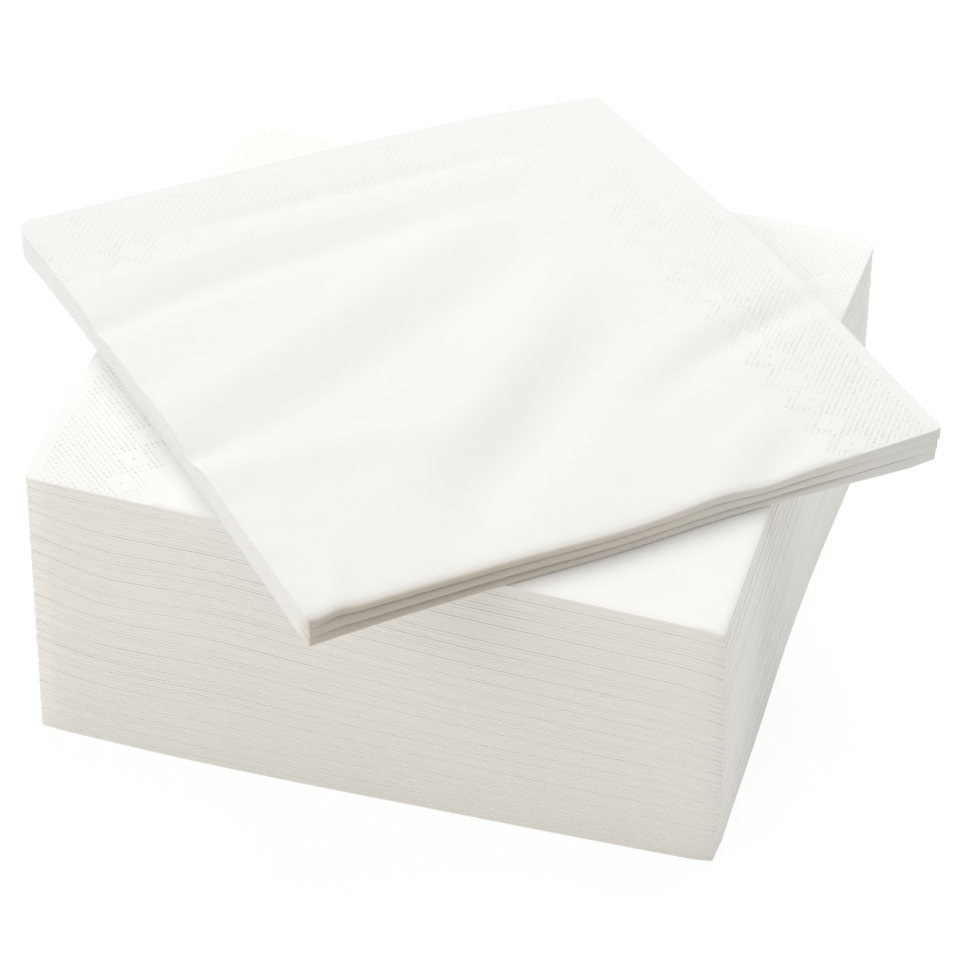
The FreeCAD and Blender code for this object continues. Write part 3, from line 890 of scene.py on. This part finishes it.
WAVES = [
    [(-22, 54, 0.0, 12), (-4, 32, 1.3, 12), (14, 10, 1.9, 12), (38, -20, 1.9, 12), (52, -46, 0.5, 11)],
    [(12, 46, 0.0, 11), (28, 23, -1.2, 11), (52, -8, -2.0, 11), (68, -30, -1.7, 11), (92, -52, -0.2, 10)],
    [(-60, 46, 0.0, 10), (-41, 12, 1.3, 10), (-25, -24, 1.5, 10), (-8, -64, 1.3, 9), (6, -99, 0.8, 8)],
    [(-38, 54, 0.0, 9), (-16, 12, -1.1, 9), (4, -32, -1.4, 9), (17, -66, -1.3, 8), (24, -99, -1.2, 6)],
    [(40, -22, 0.0, 8), (37, -50, 0.8, 8), (34, -99, 0.6, 7)],
    [(-56, 60, 0.0, 6), (-54, 30, -0.7, 6), (-53, 0, -1.1, 6), (-51, -40, -1.2, 6), (-46, -75, -1.2, 5),
     (-40, -99, -0.9, 4.5)],
    [(27, 102, -0.4, 5), (31, 84, -1.2, 5), (38, 60, -1.3, 6), (52, 32, -0.5, 7)],
    [(17, 102, 0.2, 7), (21, 80, 0.6, 7), (29, 55, 0.7, 8), (42, 30, 0.2, 8)],
    [(74, 80, 0.0, 6), (89, 54, -0.9, 6), (104, 36, -0.8, 6)],
    [(66, 68, 0.0, 7), (80, 46, 0.5, 7), (97, 26, 0.5, 7)],
    [(-78, 72, 0.0, 3.2), (-78, 30, -0.5, 3.2), (-78, -40, -0.5, 3.2), (-78, -62, 0.0, 3.2)],
    [(-68, 76, 0.0, 6), (-67, 40, 0.6, 6), (-66, -40, 0.8, 6), (-60, -92, 0.5, 6)],
    [(76, -82, 0.3, 4), (98, -90, 0.7, 4)],
]
CREASES = [(24, 16, 0.9, 2.4), (-42, 13, 0.6, 2.4), (-28, 8, 0.3, 2.2), (-12, 9, 0.4, 2.2),
           (48, 11, 0.5, 2.0), (56, 9, 0.45, 1.8), (62, 12, 0.45, 1.9), (76, 8, 0.4, 1.8), (82, 7, 0.4, 1.8)]
WAVE_STRENGTH = 1.25
WAVE_RISE = 1.2
CORNER_TOP = {(-1, -1): 0.2, (-1, 1): -1.2, (1, 1): 1.6, (1, -1): -0.7}
CORNER_UNDER = {(-1, -1): -1.4, (-1, 1): -0.6, (1, 1): -1.8, (1, -1): -2.9}
LEFT_OUT = [(-99, -2.6), (-40, -3.0), (20, -3.4), (60, -2.8), (99, 0.0)]
BACK_OUT = [(-100, 0.2), (-50, 3.0), (0, 4.4), (60, 3.0), (100, 1.6)]
RIGHT_OUT = [(-99, 0.5), (-40, 1.2), (-5, 1.8), (28, 0.2), (60, 0.0), (99, -0.4)]
FRONT_OUT = [(-100, -1.4), (-80, -0.6), (-40, 0.0), (100, 0.0)]
FRONT_DROOP = 1.2
FRONT_DROOP_REACH = 6
BUNDLE_ROUND = {(-1, -1): 5.5, (-1, 1): 1.0, (1, 1): 4.6, (1, -1): 2.5}
ROUND_STEP = 1.2
print("the bundle is", round(BUNDLE_COUNT * BUNDLE_PITCH / MM, 2), "mm thick, with", len(WAVES), "waves")

# %% Drape a napkin of the bundle
# The bundle's painted fold shade: strongest along its second fold, fading towards its back.
BUNDLE_SHADE_PAINT_REACH = 1.5 * MM
FIRST_FOLD_PAINTED_SHADE = 0.05
PAINTED_SHADE_FADE = 0.75
FLAT_NOSE = 0.75
FLAT_NOSE_REACH = 1.2 * MM
FLAT_START = 50
FLAT_RUN = 130
BUNDLE_SEED = 700
BUNDLE_LOOSENESS = 1.3
BUNDLE_OPEN = (0.5, 110)


def drape(across, back, share):
    """Height of the bundle's waves, creases and lifted corners, growing with the share of its thickness."""
    x = across / MM
    y = back / MM
    waves = sum(soft_line(x, y, path) for path in WAVES)
    for place, length, depth, width in CREASES:
        path = [(place, -101, -depth, width), (place - 2, -99 + length, 0.0, width * 1.6)]
        waves = waves + soft_line(x, y, path)
    corners = np.zeros(x.shape)
    for (side_way, back_way), lift in CORNER_TOP.items():
        near = np.clip((1 + side_way * x / 100) / 2, 0, 1) * np.clip((1 + back_way * y / 99) / 2, 0, 1)
        lift = share * lift + (1 - share) * CORNER_UNDER[side_way, back_way]
        corners = corners + lift * near ** 4
    from_front_corner = np.hypot(x - 100, y + 99)
    corners = corners - FRONT_DROOP * share * np.exp(-(from_front_corner / FRONT_DROOP_REACH) ** 2)
    return (WAVE_STRENGTH * waves * share ** WAVE_RISE + corners) * MM


def lay_in_bundle(flat_napkin, number):
    """One napkin of the bundle: draped, its outline eased, then turned and laid on the leaning pile."""
    mesh = flat_napkin.copy()
    across, back, height = points_of(mesh)
    towards_back = np.clip((back / MM + FLAT_START) / FLAT_RUN, 0.0, 1.0)
    second_fold = 1 - PAINTED_SHADE_FADE * towards_back
    mark_painted_fold_shade(mesh, across, back, BUNDLE_SHADE_PAINT_REACH, FIRST_FOLD_PAINTED_SHADE, second_fold)
    from_right = NAPKIN_WIDTH / 2 - across
    across = across + FLAT_NOSE * towards_back * np.where(from_right < FLAT_NOSE_REACH, from_right, 0.0)
    seed = BUNDLE_SEED + number
    across, back, height = shape_edges(across, back, height, LOOSE, BUNDLE_PITCH, seed, BUNDLE_LOOSENESS)
    across, height = open_nose(across, back, height, BUNDLE_PITCH, *BUNDLE_OPEN)
    right_round = BUNDLE_ROUND[1, 1] - ROUND_STEP * number
    across, back = round_corners(across, back, {**BUNDLE_ROUND, (1, 1): right_round})
    share = (number * BUNDLE_PITCH + height) / (BUNDLE_COUNT * BUNDLE_PITCH)
    up = BUNDLE_REST + number * BUNDLE_PITCH + height + drape(across, back, share)
    left_share = near_side(-across, NAPKIN_WIDTH)
    right_share = near_side(across, NAPKIN_WIDTH)
    back_share = near_side(back, NAPKIN_DEPTH)
    moved = smooth_curve(back / MM, LEFT_OUT) * left_share + smooth_curve(back / MM, RIGHT_OUT) * right_share
    back_moved = smooth_curve(across / MM, BACK_OUT) * back_share
    back_moved = back_moved + smooth_curve(across / MM, FRONT_OUT) * (1 - back_share)
    back = back + back_moved * MM
    across = across + moved * MM
    x = BUNDLE_ACROSS + across * math.cos(BUNDLE_TURN) - back * math.sin(BUNDLE_TURN)
    y = BUNDLE_BACK + across * math.sin(BUNDLE_TURN) + back * math.cos(BUNDLE_TURN)
    up = PITCH * PILE_COUNT + top_lean(x, y) + up
    return finish_napkin(mesh, (x, y, up), f"top_napkin_{number + 1}")


bundle = [lay_in_bundle(plain_loose, number) for number in range(BUNDLE_COUNT - 1)]
bundle.append(lay_in_bundle(dotted_loose, BUNDLE_COUNT - 1))
print("napkins in the bundle:", len(bundle), "topmost:", bundle[-1].name)

# %% [markdown]
# ## Count the napkins
# The flat napkins have done their work and go. What is left is counted.

# %% Count the triangles
for flat_napkin in (plain_pressed, plain_loose, dotted_pressed, dotted_loose):
    bpy.data.meshes.remove(flat_napkin)
triangles = 0
for piece in pile + bundle:
    piece.data.calc_loop_triangles()
    triangles += len(piece.data.loop_triangles)
print("pieces:", len(pile + bundle), "triangles:", triangles)
